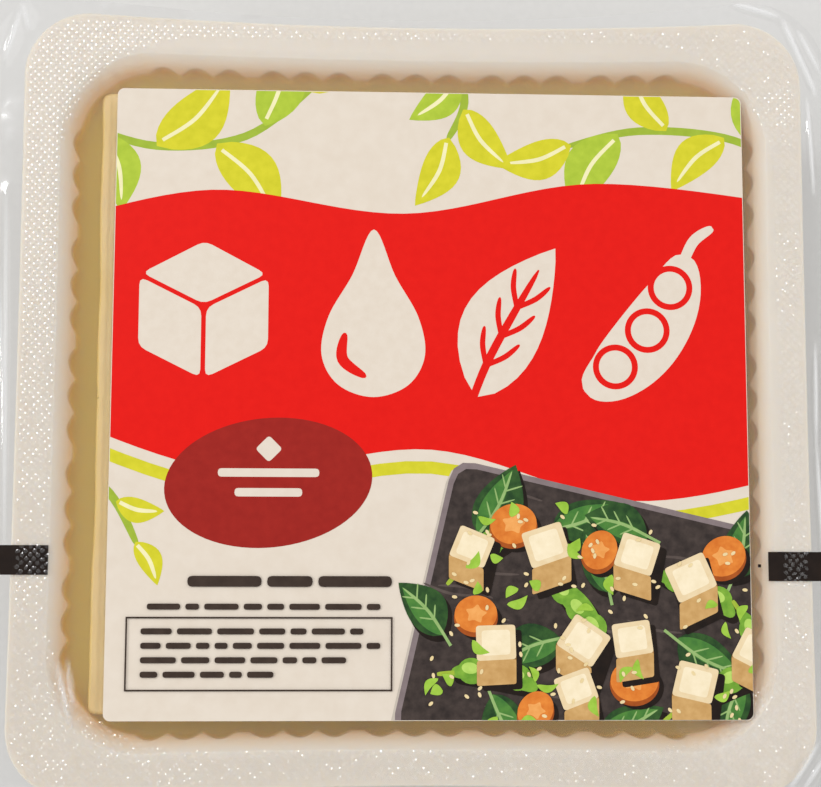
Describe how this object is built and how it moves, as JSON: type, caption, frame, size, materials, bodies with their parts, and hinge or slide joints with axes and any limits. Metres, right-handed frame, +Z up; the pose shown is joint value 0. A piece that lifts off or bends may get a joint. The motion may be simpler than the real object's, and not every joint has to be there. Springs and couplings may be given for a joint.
{
  "type": "sealed tofu pack",
  "caption": "Square plastic tray of tofu in water, with fluted walls, a sealed clear lid film and a printed panel on top.",
  "frame": {"origin": "middle of the pack's footprint, at the underside of the tray's base", "axes": "+Z up; seen from above, +X to the pack's right-hand side and +Y to its far side"},
  "size_m": [0.1524, 0.1484, 0.0371],
  "materials": {
    "tray_plastic": "satin, thermoformed, slightly translucent",
    "tofu": "soft, damp, fine-grained",
    "water": "clear liquid tinted straw yellow",
    "film": "clear, glossy, knurled where it is sealed",
    "print": "satin printed film, opaque white ground"
  },
  "bodies": {
    "root": {"tray": "tray_plastic", "tofu_block": "tofu", "water": "water", "lid_film": "film", "print_panel": "print"}
  },
  "joints": []
}
